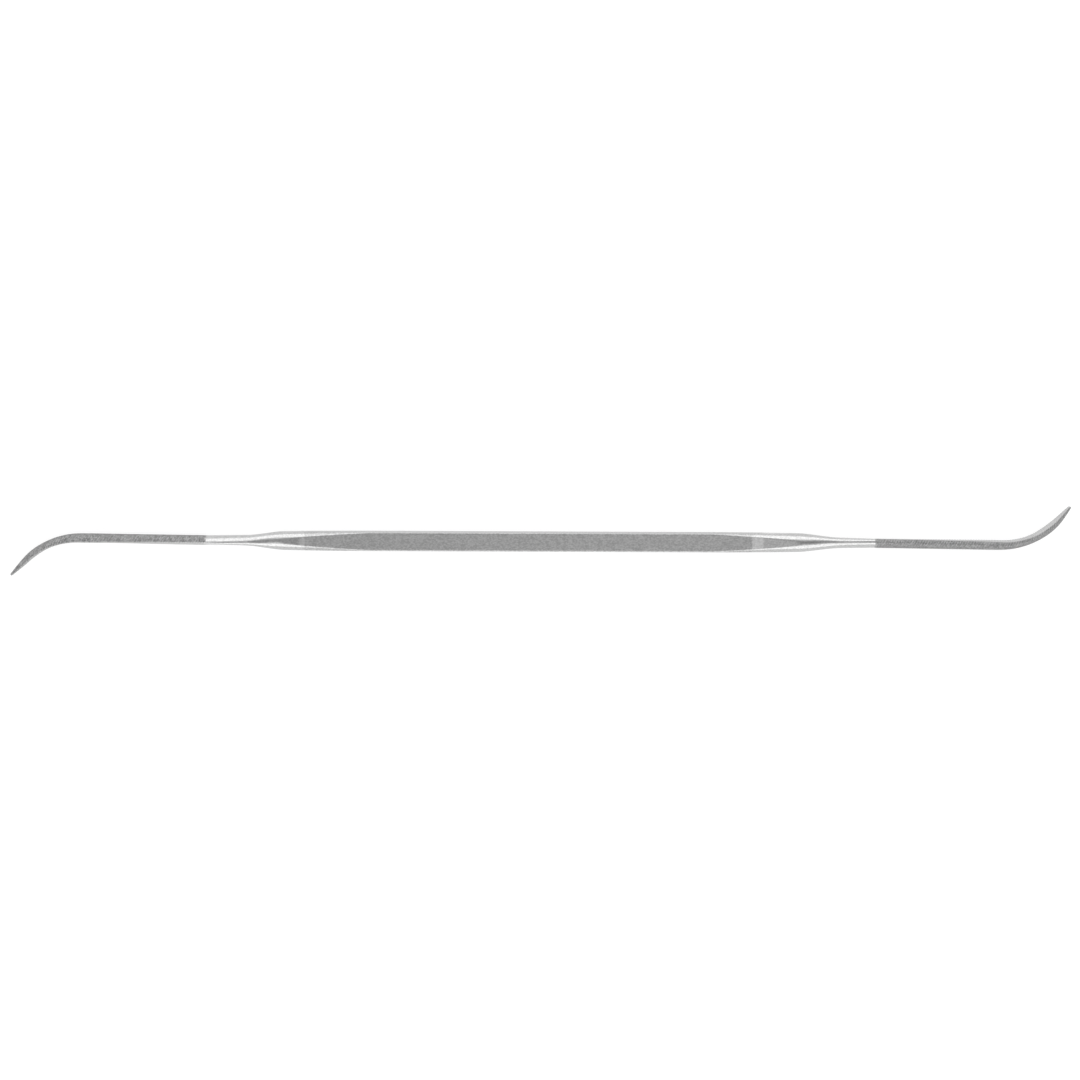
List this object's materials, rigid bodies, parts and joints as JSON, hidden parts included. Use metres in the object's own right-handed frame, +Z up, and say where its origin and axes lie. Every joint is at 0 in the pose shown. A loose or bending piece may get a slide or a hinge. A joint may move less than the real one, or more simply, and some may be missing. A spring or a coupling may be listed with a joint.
{
  "type": "riffler file",
  "caption": "Slender double-ended riffler file with a square grip, tapered round necks and curled half-round cut ends that point opposite ways.",
  "frame": {"origin": "centre of the underside of the square grip, on the surface that the tool lies on", "axes": "+X along the grip towards the right end, which curls towards +Y; the left end curls towards -Y; +Z up, square to the plane of the S shape"},
  "size_m": [0.1802, 0.0126, 0.0033],
  "materials": {
    "ground_steel": "satin, ground flats with softened edges",
    "polished_steel": "bright, polished along the length",
    "cut_steel": "fine double cut, hardened, dull grey"
  },
  "bodies": {
    "root": {"grip_bar": "ground_steel", "left_shoulder": "ground_steel", "left_neck": "polished_steel", "left_cut_end": "cut_steel", "right_shoulder": "ground_steel", "right_neck": "polished_steel", "right_cut_end": "cut_steel"}
  },
  "joints": []
}
